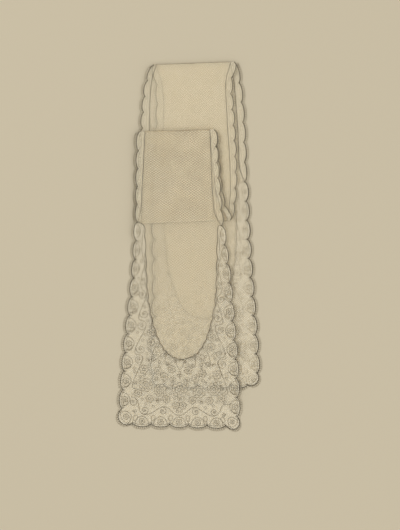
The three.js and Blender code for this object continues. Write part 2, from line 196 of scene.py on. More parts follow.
# Half width of the U-shaped tip of net at each distance below its start.
TIP = [
    (3, 52), (12, 51.6), (36, 51), (62, 50.4), (84, 49.6), (106, 48), (124, 45.2), (140, 41.6), (154, 37.4),
    (165, 33), (175, 27.4), (183, 20.4), (187.6, 12.5), (189.7, 5),
]
TIP_LENGTH = 190

# Soft ridges pressed into the cloth: middle, direction, half length, half width and height.
CREASES = [
    dict(x=-14, y=2, turn=8, half=46, width=5.5, height=0.55),
    dict(x=-34, y=-52, turn=62, half=34, width=6.5, height=0.6),
    dict(x=14, y=-96, turn=-52, half=30, width=6, height=0.55),
    dict(x=-8, y=96, turn=38, half=42, width=7, height=0.5),
    dict(x=8, y=204, turn=-24, half=44, width=7.5, height=0.6),
    dict(x=-40, y=232, turn=70, half=22, width=5, height=0.5),
    dict(x=70, y=-84, turn=84, half=40, width=5, height=0.5),
    dict(x=-20, y=-204, turn=12, half=44, width=8, height=0.6),
]


def smoothstep(value):
    value = np.clip(value, 0, 1)
    return value * value * (3 - 2 * value)


def lerp(a, b, share):
    return a + (b - a) * share


def roundness(place):
    """Depth of a scallop at a place from notch to notch, as a share of its full depth."""
    return 2 * np.sqrt(np.clip(place * (1 - place), 0, None))


def full_turn(points):
    return np.linspace(0, 2 * math.pi, points + 1)[:-1]


def runs(within):
    """Where each run of true values starts and ends."""
    marks = np.flatnonzero(np.diff(np.concatenate([[0], within.astype(int), [0]])))
    return zip(marks[::2], marks[1::2], strict=True)


class Line:
    """A smooth line through a few points, walked by its share of the whole length."""

    STEPS = 40

    def __init__(self, points):
        p = np.array(points, float)
        p = np.vstack([2 * p[0] - p[1], p, 2 * p[-1] - p[-2]])
        t = np.linspace(0, 1, self.STEPS, endpoint=False)[:, None]
        pieces = []
        for a, b, c, d in zip(p, p[1:], p[2:], p[3:], strict=False):
            before, here, after = (math.sqrt(math.dist(*pair)) for pair in ((a, b), (b, c), (c, d)))
            start = ((b - a) / before - (c - a) / (before + here) + (c - b) / here) * here
            end = ((c - b) / here - (d - b) / (here + after) + (d - c) / after) * here
            bend = -3 * b + 3 * c - 2 * start - end
            pieces.append(b + start * t + bend * t**2 + (2 * b - 2 * c + start + end) * t**3)
        self.dense = np.vstack([*pieces, p[-2:-1]])
        self.walked = np.concatenate([[0], np.cumsum(np.linalg.norm(np.diff(self.dense, axis=0), axis=1))])
        self.length = self.walked[-1]

    def at(self, share):
        where = np.clip(share, 0, 1) * self.length
        return np.column_stack([np.interp(where, self.walked, self.dense[:, k]) for k in (0, 1)])

    def left_of(self, share):
        """The way to the left of the line, as one walks along it."""
        return leftward(unit(self.at(np.minimum(share + 2e-3, 1)) - self.at(np.maximum(share - 2e-3, 0))))


def unit(vectors):
    return vectors / np.maximum(np.linalg.norm(vectors, axis=-1, keepdims=True), 1e-9)


def leftward(vectors):
    """The same ways, turned a quarter to the left."""
    return np.stack([-vectors[..., 1], vectors[..., 0]], axis=-1)


# ---- The layers of the pile


class Fold:
    """Where one stretch turns into the next."""

    def __init__(self, row, away):
        self.start = np.array(row[0:2]) + ORIGIN
        self.out = leftward(unit(np.array(row[3:5]) + ORIGIN - self.start)) * away

    def past(self, x, y):
        return (x - self.start[0]) * self.out[0] + (y - self.start[1]) * self.out[1]


BACK, NECK, TURN, FRONT = range(4)
ROWS = [stretch["rows"] for stretch in STRETCHES]
FOLDS = [Fold(ROWS[BACK][-1], 1), Fold(ROWS[NECK][-1], -1), Fold(ROWS[TURN][-1], 1)]
BACK_SIDES = [(row[0], row[1], 0, row[2], row[3], 0) for row in LACES["back"]["sides"][::-1]]
PLANS = [
    dict(rows=BACK_SIDES + ROWS[BACK], top=FOLDS[0], bottom_y=-191.6 + ORIGIN[1]),
    dict(rows=ROWS[NECK][::-1], top=FOLDS[0], bottom=FOLDS[1]),
    dict(rows=ROWS[TURN], top=FOLDS[2], bottom=FOLDS[1]),
]


def cover(layer, x, y):
    """1 on a layer and close round it, falling to 0 further out."""
    plan = PLANS[layer]
    rows = np.array(plan["rows"])
    left = np.interp(y, rows[:, 1] + ORIGIN[1], rows[:, 0] + ORIGIN[0])
    right = np.interp(y, rows[:, 4] + ORIGIN[1], rows[:, 3] + ORIGIN[0])
    below = -plan["bottom"].past(x, y) if "bottom" in plan else y - plan["bottom_y"]
    inside = np.minimum.reduce([x - left, right - x, -plan["top"].past(x, y), below])
    return smoothstep((inside + DRAPE_REACH + DRAPE_FALL) / DRAPE_FALL)


def ripple(layer, x, y):
    """Slow waves from 0 to 1 for the air on a layer."""
    one, other = np.sin(x / 19 + y / 47 + 1.7 * layer), np.sin(y / 29 - x / 61 + 2.3 * layer)
    return 0.5 + 0.25 * one + 0.25 * other


def creases(x, y):
    """Height of the soft ridges that all the layers share."""
    height = np.zeros_like(x)
    for crease in CREASES:
        turn = math.radians(crease["turn"])
        dx, dy = x - crease["x"], y - crease["y"]
        along = dx * math.cos(turn) + dy * math.sin(turn)
        across = dy * math.cos(turn) - dx * math.sin(turn) + along**2 / CREASE_BEND
        height += crease["height"] * np.exp(-((across / crease["width"]) ** 2) - (along / crease["half"]) ** 4)
    return height


def level(layer, x, y):
    """Height of a layer's underside."""
    height = creases(x, y)
    for below in range(layer):
        from_fold = FOLDS[below].past(x, y) / FOLD_SWELL_REACH
        air = PUFF * ripple(below, x, y) + FOLD_SWELL * np.exp(-(from_fold**2))
        height = height + cover(below, x, y) * (PITCH + air)
    return height


def on_layer(layer, plan):
    """Places in plan, set on the middle of a layer's cloth."""
    return np.column_stack([plan, level(layer, plan[:, 0], plan[:, 1]) + WALL / 2])


class Stretch:
    """One stretch of the cravat between folds. A share of 0 to 1 runs along it, less than 0 is the U-shaped
    tip inside its lace, and more than 1 goes round the fold to the next stretch."""

    def __init__(self, layer, name, scallops, lace, rows):
        self.layer, self.name, self.scallops, self.lace = layer, name, scallops, lace
        self.rows = np.array(rows, float)
        self.guides = [Line(self.rows[:, k : k + 2] + ORIGIN) for k in (0, 3)]
        self.length = sum(guide.length for guide in self.guides) / 2
        self.fold_share = FOLD_RUN / self.length if layer < FRONT else 0

    def width(self, share):
        here, there = (guide.at(share) for guide in self.guides)
        return np.linalg.norm(there - here, axis=1)

    def seam(self, side, share):
        """How far inside the notch line the edging is sewn on."""
        inset = np.interp(share * (len(self.rows) - 1), range(len(self.rows)), self.rows[:, 2 + 3 * side])
        if not self.lace:
            return inset
        to_lace = np.clip(share * self.scallops[side], 0, 1)
        return np.maximum(inset * (1 - (1 - to_lace) ** TAPER_POWER), LEAST_INSET)

    def spot(self, side, share, inset):
        """Places on the cloth, inside the notch line of one side (0 left, 1 right)."""
        share, inset = np.broadcast_arrays(np.asarray(share, float), np.asarray(inset, float))
        here, there = self.guides[side].at(share), self.guides[1 - side].at(share)
        plan = here + unit(there - here) * inset[:, None]
        plan = plan + DOWN * (np.clip(-share, 0, None) * self.length)[:, None]
        flat = on_layer(self.layer, plan)
        if not self.fold_share:
            return flat
        turned = np.clip((share - 1) / self.fold_share, 0, 1) * math.pi
        low, high = (level(k, plan[:, 0], plan[:, 1]) + WALL / 2 for k in (self.layer, self.layer + 1))
        radius = (high - low) / 2
        bent = flat.copy()
        bent[:, :2] += FOLDS[self.layer].out * (np.sin(turned) * radius)[:, None]
        bent[:, 2] = low + radius * (1 - np.cos(turned))
        return np.where((turned > 0)[:, None], bent, flat)


class Lace:
    """A lace end. A place on it is counted in scallops from its left start round to its right one, and a
    depth of 0 is its seam with the net, 1 the line of its notches."""

    def __init__(self, layer, name, sides, bottom, axis, corner_lobe, scale):
        self.layer, self.name, self.corner_lobe, self.scale = layer, name, corner_lobe, scale
        sides = np.array(sides, float)
        left, right = (Line(sides[:, k : k + 2] + ORIGIN) for k in (0, 2))
        steps = np.linspace(0, 1, SIDE_SCALLOPS + 1)
        ends = [np.array(bottom[k : k + 2]) + ORIGIN for k in (0, 2)]
        across = np.array([lerp(*ends, k / BOTTOM_SCALLOPS) for k in range(BOTTOM_SCALLOPS + 1)])
        self.notches = np.vstack([left.at(steps), across, right.at(steps)[::-1]])
        start_x, start_y, tip_x = axis
        halves = {
            sign: [(lerp(start_x, tip_x, below / TIP_LENGTH) + sign * half, start_y - below) for below, half in TIP]
            for sign in (-1, 1)
        }
        self.tip = Line(np.array([
            (sides[0][0] + LEAST_INSET, sides[0][1]),
            *halves[-1],
            (tip_x, start_y - TIP_LENGTH),
            *halves[1][::-1],
            (sides[0][2] - LEAST_INSET, sides[0][3]),
        ]) + ORIGIN)

    def inner(self, along, gap=0.0):
        """The seam with the net, in its small scallops."""
        share = np.asarray(along, float) / LACE_SCALLOPS
        place = np.asarray(along, float) % 1
        walked = np.clip(share + INNER_SPREAD * np.sin(2 * math.pi * share), 0, 1)
        fading = smoothstep(np.minimum.reduce([share, 1 - share, abs(share - 0.5) / 2]) * LACE_SCALLOPS)
        bulge = INNER_SCALLOP * fading * 4 * place * (1 - place) + gap
        return self.tip.at(walked) + self.tip.left_of(walked) * bulge[:, None]

    def chord(self, along):
        """The straight lines from notch to notch, and the way out from them."""
        along = np.asarray(along, float)
        scallop = np.clip(np.floor(along).astype(int), 0, LACE_SCALLOPS - 1)
        start, end = self.notches[scallop], self.notches[scallop + 1]
        return start + (end - start) * (along - scallop)[:, None], -leftward(unit(end - start))

    def notch_line(self, along):
        return self.chord(along)[0]

    def outline(self, along, beyond=0.0, fullness=1.0):
        """The scalloped edge, or a line beyond it or inside it."""
        along = np.asarray(along, float)
        base, out = self.chord(along)
        scallop = np.clip(np.floor(along), 0, LACE_SCALLOPS - 1)
        depth = np.where(np.isin(scallop, CORNERS), self.corner_lobe, LACE_SCALLOP)
        return base + out * (depth * fullness * roundness(along - scallop) + beyond)[:, None]

    def spot(self, along, depth):
        """A place in plan between the seam and the line of the notches."""
        along, depth = np.broadcast_arrays(np.asarray(along, float), np.asarray(depth, float))
        return lerp(self.inner(along), self.chord(along)[0], depth[:, None])

    def edge_spot(self, along, depth):
        """The same with a depth of 1 on the scalloped edge, and BODY on the line of the notches."""
        along, depth = np.broadcast_arrays(np.asarray(along, float), np.asarray(depth, float))
        body = self.spot(along, np.minimum(depth / BODY, 1))
        fullness = np.clip((depth - BODY) / (1 - BODY), 0, 1)
        return body + (self.outline(along) - self.chord(along)[0]) * fullness[:, None]

    def outward(self, along, depth):
        return unit(self.spot([along], [depth + 0.02]) - self.spot([along], [depth - 0.02]))[0]

    def openings(self):
        """Middle and inward way of each opening."""
        for notch in range(FIRST_OPEN_NOTCH, LACE_SCALLOPS - FIRST_OPEN_NOTCH + 1):
            way = unit(self.inner([notch])[0] - self.notches[notch])
            yield self.notches[notch] + way * OPENING_FROM_NOTCH, way

    def in_opening(self, plan):
        inside = np.zeros(len(plan), bool)
        for middle, way in self.openings():
            off = plan - middle
            inside |= (off @ way / (OPENING_LENGTH / 2)) ** 2 + (off @ leftward(way) / (OPENING_WIDTH / 2)) ** 2 < 1
        return inside


stretches = [Stretch(layer, **facts) for layer, facts in enumerate(STRETCHES)]
laces = {name: Lace(layer, name, **LACES[name]) for layer, name in ((BACK, "back"), (FRONT, "front"))}

# ---- Finishes


class Cell:
    """A socket. Adding to it or multiplying it adds a Math node to its material."""

    def __init__(self, finish, socket):
        self.finish, self.socket = finish, socket

    def __add__(self, other):
        return self.finish.maths("ADD", self, other)

    def __mul__(self, other):
        return self.finish.maths("MULTIPLY", self, other)


class Finish:
    """A material with a Principled shader, and the nodes that vary its colour, alpha and surface."""

    def __init__(self, name, **fixed):
        self.material = bpy.data.materials.new(name)
        self.material.use_nodes = True
        self.tree = self.material.node_tree
        self.shader = next(n for n in self.tree.nodes if n.type == "BSDF_PRINCIPLED")
        for socket, value in fixed.items():
            self.shader.inputs[socket.replace("_", " ")].default_value = value
        self.place = self.node("ShaderNodeTexCoord", output="Object")

    def node(self, kind, settings=None, inputs=None, output=0):
        made = self.tree.nodes.new(kind)
        for key, value in (settings or {}).items():
            setattr(made, key, value)
        for key, value in (inputs or {}).items():
            if isinstance(value, Cell):
                self.tree.links.new(value.socket, made.inputs[key])
            else:
                made.inputs[key].default_value = value
        return Cell(self, made.outputs[output])

    def maths(self, operation, *values):
        return self.node("ShaderNodeMath", dict(operation=operation), dict(enumerate(values)))

    def feed(self, socket, value):
        self.tree.links.new(value.socket, self.shader.inputs[socket])

    def between(self, value, low, high):
        """0 up to the low value, 1 from the high one."""
        inputs = {"Value": value, "From Min": low, "From Max": high}
        return self.node("ShaderNodeMapRange", dict(clamp=True), inputs)

    def noise(self, scale, detail):
        return self.node(
            "ShaderNodeTexNoise", inputs={"Vector": self.place, "Scale": scale, "Detail": detail}, output="Fac"
        )

    def blend(self, share, one, other):
        settings = dict(data_type="RGBA")
        return self.node("ShaderNodeMix", settings, {0: share, 6: one, 7: other}, output=2)

    def bump(self, height, strength, distance):
        self.feed(
            "Normal",
            self.node("ShaderNodeBump", inputs={"Height": height, "Strength": strength, "Distance": distance}),
        )

    def weave(self, step, lean):
        """1 on the fine threads of two slanting sets and 0 in the middle of a mesh."""
        x, y = (self.node("ShaderNodeSeparateXYZ", inputs={0: self.place}, output=axis) for axis in (0, 1))
        sets = []
        for sign in (-1, 1):
            across = x * (math.cos(lean) / step) + y * (sign * math.sin(lean) / step)
            sets.append(self.maths("PINGPONG", across, 0.5) * 2)
        return self.between(self.maths("MAXIMUM", *sets), 0.45, 0.95)


def srgb(red, green, blue):
    """A colour as read off a screen, as the shader wants it."""
    shares = (value / 255 for value in (red, green, blue))
    return (*(c / 12.92 if c < 0.04045 else ((c + 0.055) / 1.055) ** 2.4 for c in shares), 1.0)


def thread_finish(name, tone, other_tone, twist, patch=90, beyond=None):
    """Thread in patches of two tones. The other one is left out short of a place along the cravat, if given."""
    finish = Finish(name, Roughness=0.85, Specular_IOR_Level=0.25, Sheen_Weight=0.25)
    share = finish.between(finish.noise(patch, 3), 0.35, 0.65)
    if beyond:
        along = finish.node("ShaderNodeSeparateXYZ", inputs={0: finish.place}, output=1)
        share = share * finish.between(along, beyond - 0.004, beyond + 0.004)
    finish.feed("Base Color", finish.blend(share, tone, other_tone))
    finish.bump(finish.noise(twist, 2), 0.5, 0.0002)
    return finish.material


def film_finish(name, light, dark, step, thin, dense):
    finish = Finish(name, Roughness=0.9, Specular_IOR_Level=0.2, Sheen_Weight=0.2)
    finish.feed("Base Color", finish.blend(finish.noise(24, 4), light, dark))
    weave = finish.weave(step * MM, NET_LEAN)
    finish.feed("Alpha", weave * (dense - thin) + thin)
    finish.bump(weave, 0.15, 0.0002)
    return finish.material


net_film = film_finish("fine_net", srgb(249, 239, 212), srgb(240, 228, 197), step=1.25, thin=0.13, dense=0.18)
lace_film = film_finish("lace_ground", srgb(253, 245, 220), srgb(247, 236, 208), step=1.05, thin=0.1, dense=0.18)
net_thread = thread_finish("net_thread", srgb(246, 236, 209), srgb(236, 224, 194), 1600)
turned_thread = thread_finish("turned_net_thread", srgb(208, 190, 152), srgb(154, 136, 101), 1600, patch=30)
front_thread = thread_finish(
    "front_net_thread", srgb(216, 203, 172), srgb(246, 235, 207), 1600, patch=34, beyond=0.034
)
ground_thread = thread_finish("ground_thread", srgb(253, 248, 231), srgb(246, 238, 216), 1600)
sprig_thread = thread_finish("sprig_thread", srgb(226, 215, 187), srgb(214, 203, 174), 1600)
motif_thread = thread_finish("motif_thread", srgb(128, 115, 88), srgb(104, 92, 69), 1300)
pale_motif_thread = thread_finish("pale_motif_thread", srgb(196, 184, 156), srgb(176, 164, 136), 1300)
motif_cloth = thread_finish("cloth_stitch", srgb(204, 193, 167), srgb(190, 178, 151), 1500)
outline_thread = thread_finish("outline_thread", srgb(82, 71, 50), srgb(62, 54, 38), 1100)
picot_thread = thread_finish("picot_thread", srgb(152, 139, 111), srgb(122, 110, 84), 1500)
# Dark thread for the lace's second line, and for the threads across each fold, where its dark colour is painted
# shade
dark_cord_and_fold_shade = thread_finish("dark_cord_and_fold_shade", srgb(124, 110, 82), srgb(100, 88, 64), 1300)

# ---- Making pieces


def in_scene(name, data):
    made = bpy.data.objects.new(name, data)
    bpy.context.scene.collection.objects.link(made)
    return made


def mesh_from(name, shape):
    """The mesh of a bmesh, which is freed."""
    mesh = bpy.data.meshes.new(name)
    shape.to_mesh(mesh)
    shape.free()
    return mesh


def finish_piece(name, mesh, materials):
    for material in materials:
        mesh.materials.append(material)
    mesh.shade_smooth()
    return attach(in_scene(name, mesh), "root")


def cut_hole(cloth, outline):
    """Cut a rounded hole, given in plan, out of a sheet."""
    middle = Vector(outline.mean(0))
    reach = max(math.dist(middle, spot) for spot in outline) + 8 * MM
    inside = [face for face in cloth.faces if (face.calc_center_median().xy - middle).length < reach]
    for start, end in zip(outline, np.roll(outline, -1, axis=0), strict=True):
        start = Vector((*start, 0))
        out = Vector((end[1] - start.y, start.x - end[0], 0))
        near = {part for face in inside for part in (*face.verts, *face.edges)}
        cut = bmesh.ops.bisect_plane(
            cloth, geom=[*near, *inside], dist=1e-7, plane_co=start, plane_no=out
        )["geom"]
        faces = [part for part in cut if isinstance(part, bmesh.types.BMFace)]
        inside = [face for face in faces if (face.calc_center_median() - start).dot(out) < 0]
    bmesh.ops.delete(cloth, geom=inside, context="FACES")


def grid_mesh(name, columns, rows, place, holes=()):
    """A sheet of cloth from a flat grid. place gives where the grid's points go, from their two shares."""
    cloth = bmesh.new()
    bmesh.ops.create_grid(cloth, x_segments=columns, y_segments=rows, size=0.5)
    shares = np.array([vert.co[:2] for vert in cloth.verts]) + 0.5
    for vert, spot in zip(cloth.verts, place(shares[:, 0], shares[:, 1]) * MM, strict=True):
        vert.co = spot
    bmesh.ops.remove_doubles(cloth, verts=cloth.verts[:], dist=1e-6)
    for outline in holes:
        cut_hole(cloth, outline * MM)
    bmesh.ops.solidify(cloth, geom=cloth.faces[:], thickness=FILM * MM)
    if cloth.calc_volume(signed=True) < 0:
        bmesh.ops.reverse_faces(cloth, faces=cloth.faces[:])
    return mesh_from(name, cloth)


def tubes(name, lines, radius, material, sides=4):
    """Threads along lines, as one piece. A line is its points, and may be a pair with True if it closes."""
    curve = bpy.data.curves.new(name, "CURVE")
    curve.dimensions = "3D"
    curve.bevel_depth = radius * MM
    curve.bevel_resolution = (sides - 4) // 2
    curve.use_fill_caps = True
    for line in lines:
        points, closed = line if isinstance(line, tuple) else (line, False)
        spline = curve.splines.new("POLY")
        spline.points.add(len(points) - 1)
        spots = np.ones((len(points), 4))
        spots[:, :3] = points * MM
        spline.points.foreach_set("co", spots.ravel())
        spline.use_cyclic_u = closed
    holder = bpy.data.objects.new(name, curve)
    mesh = bpy.data.meshes.new_from_object(holder)
    bpy.data.objects.remove(holder)
    bpy.data.curves.remove(curve)
    mesh.name = name
    return finish_piece(name, mesh, [material])


def joined(name, pieces):
    """Several pieces as one, with a material slot for each finish."""
    whole = bmesh.new()
    materials = []
    for piece in pieces:
        first = len(whole.faces)
        whole.from_mesh(piece.data)
        whole.faces.ensure_lookup_table()
        material = piece.data.materials[0]
        if material not in materials:
            materials.append(material)
        for face in whole.faces[first:]:
            face.material_index = materials.index(material)
        bpy.data.objects.remove(piece)
    return finish_piece(name, mesh_from(name, whole), materials)


# ---- The net


def net_bounds(stretch, share):
    """Insets from the left guide between which the net lies."""
    width = stretch.width(share)
    low, high = stretch.seam(0, share), width - stretch.seam(1, share)
    if not stretch.lace:
        return low, high
    seam = laces[stretch.lace].inner(even_scallops(LACE_SCALLOPS, 12))
    start, end = (guide.at([0.0])[0] for guide in stretch.guides)
    across = unit(end - start)
    below = (seam - start) @ -leftward(across) / across[0]
    inset = (seam - start - DOWN * below[:, None]) @ across
    half = int(np.argmax(below))
    tip_share = -share * stretch.length
    left = np.interp(tip_share, *ordered(below[: half + 1], inset[: half + 1]))
    right = np.interp(tip_share, *ordered(below[half:], inset[half:]))
    return np.where(share < 0, left, low), np.where(share < 0, right, high)


def ordered(keys, values):
    order = np.argsort(keys)
    return keys[order], values[order]


def net_shares(stretch, step):
    """Shares along the net, from its tip to the end of its fold."""
    first = -(TIP_LENGTH - SHORT_OF_TIP) / stretch.length if stretch.lace else 0
    flat = np.linspace(first, 1, max(2, round((1 - first) * stretch.length / step)))
    if not stretch.fold_share:
        return flat
    return np.concatenate([flat, 1 + stretch.fold_share * ROUND_FOLD])


def net_cloth(stretch):
    columns, step = NET_GRID
    shares = net_shares(stretch, step)

    def place(u, v):
        share = np.interp(v, np.linspace(0, 1, len(shares)), shares)
        low, high = net_bounds(stretch, share)
        return stretch.spot(0, share, lerp(low, high, u))

    return grid_mesh(f"{stretch.name}_net", columns, len(shares) - 1, place)


def net_threads(stretch):
    shares = net_shares(stretch, NET_THREAD_STEP)
    low, high = net_bounds(stretch, shares)
    run = shares * stretch.length
    lines = []
    for sign in (-1, 1):
        slope = sign * math.tan(NET_LEAN + LEAN_BY_LAYER * (stretch.layer - NECK))
        spacing = NET_STEPS[stretch.layer] / math.cos(NET_LEAN)
        sweep = abs(slope) * (run[-1] - run[0])
        starts = np.arange(low.min() - sweep, high.max() + sweep, spacing)
        for start in starts:
            inset = start + slope * (run - run[0])
            inset = inset + THREAD_WAVER * np.sin(run / WAVER_LENGTH + start)
            lines += inside_runs(stretch, shares, inset, low, high)
    return lines


def fold_shade_lines(stretch):
    """Dark cross threads along a fold, which crowd there where one looks at the cloth edge on; their dark colour is
    painted shade of the fold.
    """
    across = np.linspace(0, 1, 40)
    lines = []
    for turn in FOLD_SHADE_PLACES:
        share = np.full(len(across), 1 + turn * stretch.fold_share)
        low, high = net_bounds(stretch, share)
        lines.append(stretch.spot(0, share, lerp(low, high, across)))
    return lines


def inside_runs(stretch, shares, inset, low, high):
    """The stretches of a slanting line that lie within the net, cut off at its edges."""
    within = np.minimum(inset - low, high - inset)
    found = []
    for first, last in runs(within > 0):
        share, off = list(shares[first:last]), list(inset[first:last])
        for here, beyond, at in ((first, first - 1, 0), (last - 1, last, len(share) + 1)):
            if 0 <= beyond < len(shares):
                part = within[here] / (within[here] - within[beyond])
                share.insert(at, lerp(shares[here], shares[beyond], part))
                off.insert(at, lerp(inset[here], inset[beyond], part))
        if len(share) > 1:
            found.append(stretch.spot(0, np.array(share), np.array(off)))
    return found


# ---- The narrow edging


def scallop_share(stretch, side, along):
    """Share of a stretch at a place counted in scallops; the last one past them goes round the fold."""
    count = stretch.scallops[side]
    return np.where(along <= count, along / count, 1 + (along - count) * stretch.fold_share)


def scallop_depth(stretch, side, along):
    place = np.where(along < stretch.scallops[side], along % 1, 0)
    return NECK_SCALLOP * roundness(place)


def even_scallops(count, steps):
    """Places along a run of scallops, closer together at the notches."""
    within = (1 - np.cos(math.pi * np.arange(steps) / steps)) / 2
    return np.append((np.arange(count)[:, None] + within).ravel(), count)


def edging_places(stretch, side, steps):
    along = even_scallops(stretch.scallops[side], steps)
    if stretch.fold_share:
        along = np.concatenate([along, along[-1] + ROUND_FOLD])
    return along


def edging_cloth(stretch, side):
    columns, steps = EDGING_GRID
    along = edging_places(stretch, side, steps)

    def place(u, v):
        here = np.interp(v, np.linspace(0, 1, len(along)), along)
        share = scallop_share(stretch, side, here)
        inset = lerp(stretch.seam(side, share), -scallop_depth(stretch, side, here), u)
        return stretch.spot(side, share, inset)

    return grid_mesh(f"{stretch.name}_{SIDES[side]}_edging", columns, len(along) - 1, place)


def edging_line(stretch, side, along, beyond):
    share = scallop_share(stretch, side, along)
    return stretch.spot(side, share, -scallop_depth(stretch, side, along) - beyond)


def picots(outline, start, end, length):
    """Fine loops along an edge. outline gives points from places along it and distances beyond it."""
    loops = max(1, round(length / PICOT_STEP))
    turn = np.linspace(0, 2 * math.pi * loops, LOOP_POINTS * loops + 1)
    along = lerp(start, end, turn / turn[-1]) - LOOP_LEAN * (end - start) / length * np.sin(turn)
    reach = (1 - np.cos(turn)) / 2
    return outline(np.clip(along, start, end), lerp(PICOT_THREAD - BORDER, PICOT - PICOT_THREAD - 0.1, reach))


def edging_threads(stretch, side):
    """Outline, seam, picots and the small sprig in each scallop."""
    name = f"{stretch.name}_{SIDES[side]}"
    along = edging_places(stretch, side, LINE_STEPS)
    share = scallop_share(stretch, side, along)
    outline = [edging_line(stretch, side, along, -BORDER)]
    seam = [stretch.spot(side, share, stretch.seam(side, share))]
    depth = scallop_depth(stretch, side, along)
    inner = [stretch.spot(side, share, lerp(stretch.seam(side, share), -depth, INNER_LINE))]
    loops = [picots(
        lambda places, beyond: edging_line(stretch, side, places, beyond),
        0.0, float(stretch.scallops[side]), PICOT_SLACK[0] * stretch.guides[side].length,
    )]
    sprigs = []
    turn = full_turn(14)
    for scallop in range(stretch.scallops[side]):
        share = (scallop + 0.5) / stretch.scallops[side]
        deep = float(stretch.seam(side, np.array([share]))[0])
        if deep < LEAST_DEPTH_FOR_SPRIG:
            continue
        pitch = stretch.length / stretch.scallops[side]
        for middle, size in SPRIG_SPOTS:
            share = (scallop + middle) / stretch.scallops[side]
            lean = 1.3 * size * np.cos(turn) / stretch.length
            sprigs.append((stretch.spot(side, share + lean, 0.3 * deep + 0.9 * size * np.sin(turn)), True))
        if pitch > LEAST_PITCH_FOR_WAVE:
            wave = np.linspace(0, 1, 13)
            share = (scallop + wave) / stretch.scallops[side]
            inset = deep * INNER_LINE + 0.5 * np.cos(2 * math.pi * wave)
            sprigs.append(stretch.spot(side, share, np.minimum(inset, stretch.seam(side, share) - 0.5)))
    return joined(f"{name}_edging_threads", [
        tubes("outline", outline, CORD, outline_thread, 6),
        tubes("seam", seam, SEAM_CORD, outline_thread),
        tubes("inner", inner, PICOT_THREAD, sprig_thread),
        tubes("loops", loops, PICOT_THREAD, picot_thread),
        tubes("sprigs", sprigs, PICOT_THREAD, sprig_thread),
    ])


# ---- The lace ends: drawn shapes, in millimetres, with their own +y towards the edge


def ring(radius, x=0.0, y=0.0, points=12):
    turn = full_turn(points)
    return np.column_stack([x + radius * np.cos(turn), y + radius * np.sin(turn)]), True


def lobed(size, lobes, notch, start=0.5):
    """The outline of a flower, with a sharp notch between its round petals."""
    turn = (np.arange(8 * lobes) / 8 + start) * 2 * math.pi / lobes
    reach = size * (1 - notch * (1 - np.abs(np.cos((turn * lobes / 2) - math.pi * (start - 0.5)))))
    return np.column_stack([reach * np.sin(turn), reach * np.cos(turn)]), True


def leaf(length, width, turn, x=0.0, y=0.0):
    """A pointed leaf, outlined, from its stalk."""
    t = np.linspace(0, math.pi, 8)
    side = np.column_stack([width / 2 * np.sin(t) ** 1.3, length * (1 - np.cos(t)) / 2])
    both = np.vstack([side, (side * (-1, 1))[-2:0:-1]])
    return turned(both, turn) + (x, y), True


def curl(radius, turns, hand, turn=0.0, x=0.0, y=0.0):
    """A scroll that winds in from its stalk."""
    t = np.linspace(0, 1, round(16 * turns) + 6)
    angle = -math.pi / 2 + hand * 2 * math.pi * turns * t
    reach = radius * (1 - 0.78 * t)
    spiral = np.column_stack([reach * np.cos(angle), radius + reach * np.sin(angle)])
    return turned(spiral, turn) + (x, y), False


def turned(points, degrees):
    angle = math.radians(degrees)
    c, s = math.cos(angle), math.sin(angle)
    return points @ np.array([[c, -s], [s, c]])


def petals(count, length, width, turn=0.0, start=0.0):
    """The filled part of a flower's petals: length, width, turn and where each starts."""
    return [(length, width, 360 * (k + turn) / count, start) for k in range(count)]


def rosette(size, count=6):
    """A small flower of round petals about a ring."""
    return [lobed(size, count, 0.26), ring(0.3 * size)], petals(count, 0.5 * size, 0.44 * size, 0, 0.38 * size)


def big_flower(size, count=8):
    """A double flower with a ring in its middle."""
    lines = [lobed(size, count, 0.15), lobed(0.6 * size, count, 0.2, 0), ring(0.22 * size)]
    filled = petals(count, 0.28 * size, 0.36 * size, 0, 0.64 * size)
    return lines, filled + petals(count, 0.24 * size, 0.2 * size, 0.5, 0.3 * size)


def spray(size):
    """A stalk with two leaves and one at its tip."""
    lines = [(np.array([(0, -size), (0.06 * size, -0.3 * size), (0, 0.2 * size)]), False)]
    plates = []
    for y, turn, length in ((-0.4, 46, 0.8), (-0.4, -46, 0.8), (0.2, 0, 0.8)):
        lines.append(leaf(length * size, 0.44 * size, turn, 0, y * size))
        middle = turned(np.array([[0, length * size / 2]]), turn)[0] + (0, y * size)
        plates.append((0.8 * length * size, 0.3 * size, turn, 0, *middle))
    return lines, plates


def scrolls(size):
    """Two scrolls that part from one stalk, with a bud between."""
    lines = [
        curl(0.46 * size, 1.25, 1, 24, 0, -0.9 * size),
        curl(0.46 * size, 1.25, -1, -24, 0, -0.9 * size),
        leaf(0.9 * size, 0.36 * size, 0, 0, -0.1 * size),
    ]
    return lines, [(0.7 * size, 0.24 * size, 0, 0, 0, 0.34 * size)]


def single_scroll(size):
    lines = [curl(0.62 * size, 1.4, 1, 0, 0, -size), leaf(0.8 * size, 0.3 * size, -62, 0, -0.7 * size)]
    return lines, []


def spot_ring(size):
    return [ring(0.8 * size)], []


def bud(size):
    """A closed flower on a curled stalk."""
    lines = [leaf(1.1 * size, 0.8 * size, 0, 0, -0.1 * size), curl(0.5 * size, 0.8, 1, 200, 0, -0.1 * size)]
    return lines, [(0.7 * size, 0.4 * size, 0, 0, 0, 0.45 * size)]


def medallion(size):
    """A round arch that closes a scallop on its inner side, with a small flower under it."""
    half, height = size
    turn = np.linspace(0, math.pi, 24)
    arch = np.column_stack([half * np.cos(turn), 1.5 - (height + 1.5) * np.sin(turn)])
    lines, plates = rosette(0.46 * min(half, height + 1.5), 5)
    down = 0.32 * height
    lines = [(points - (0, down), closed) for points, closed in lines]
    return [(arch, False), *lines], [(*plate[:4], 0, -down) for plate in plates]


def tendril(radius):
    """A curl that leaves the stem and winds round a ring."""
    return [curl(radius, 1.3, 1)] + ([ring(0.2 * radius, 0, radius, 8)] if radius > 5 else []), []


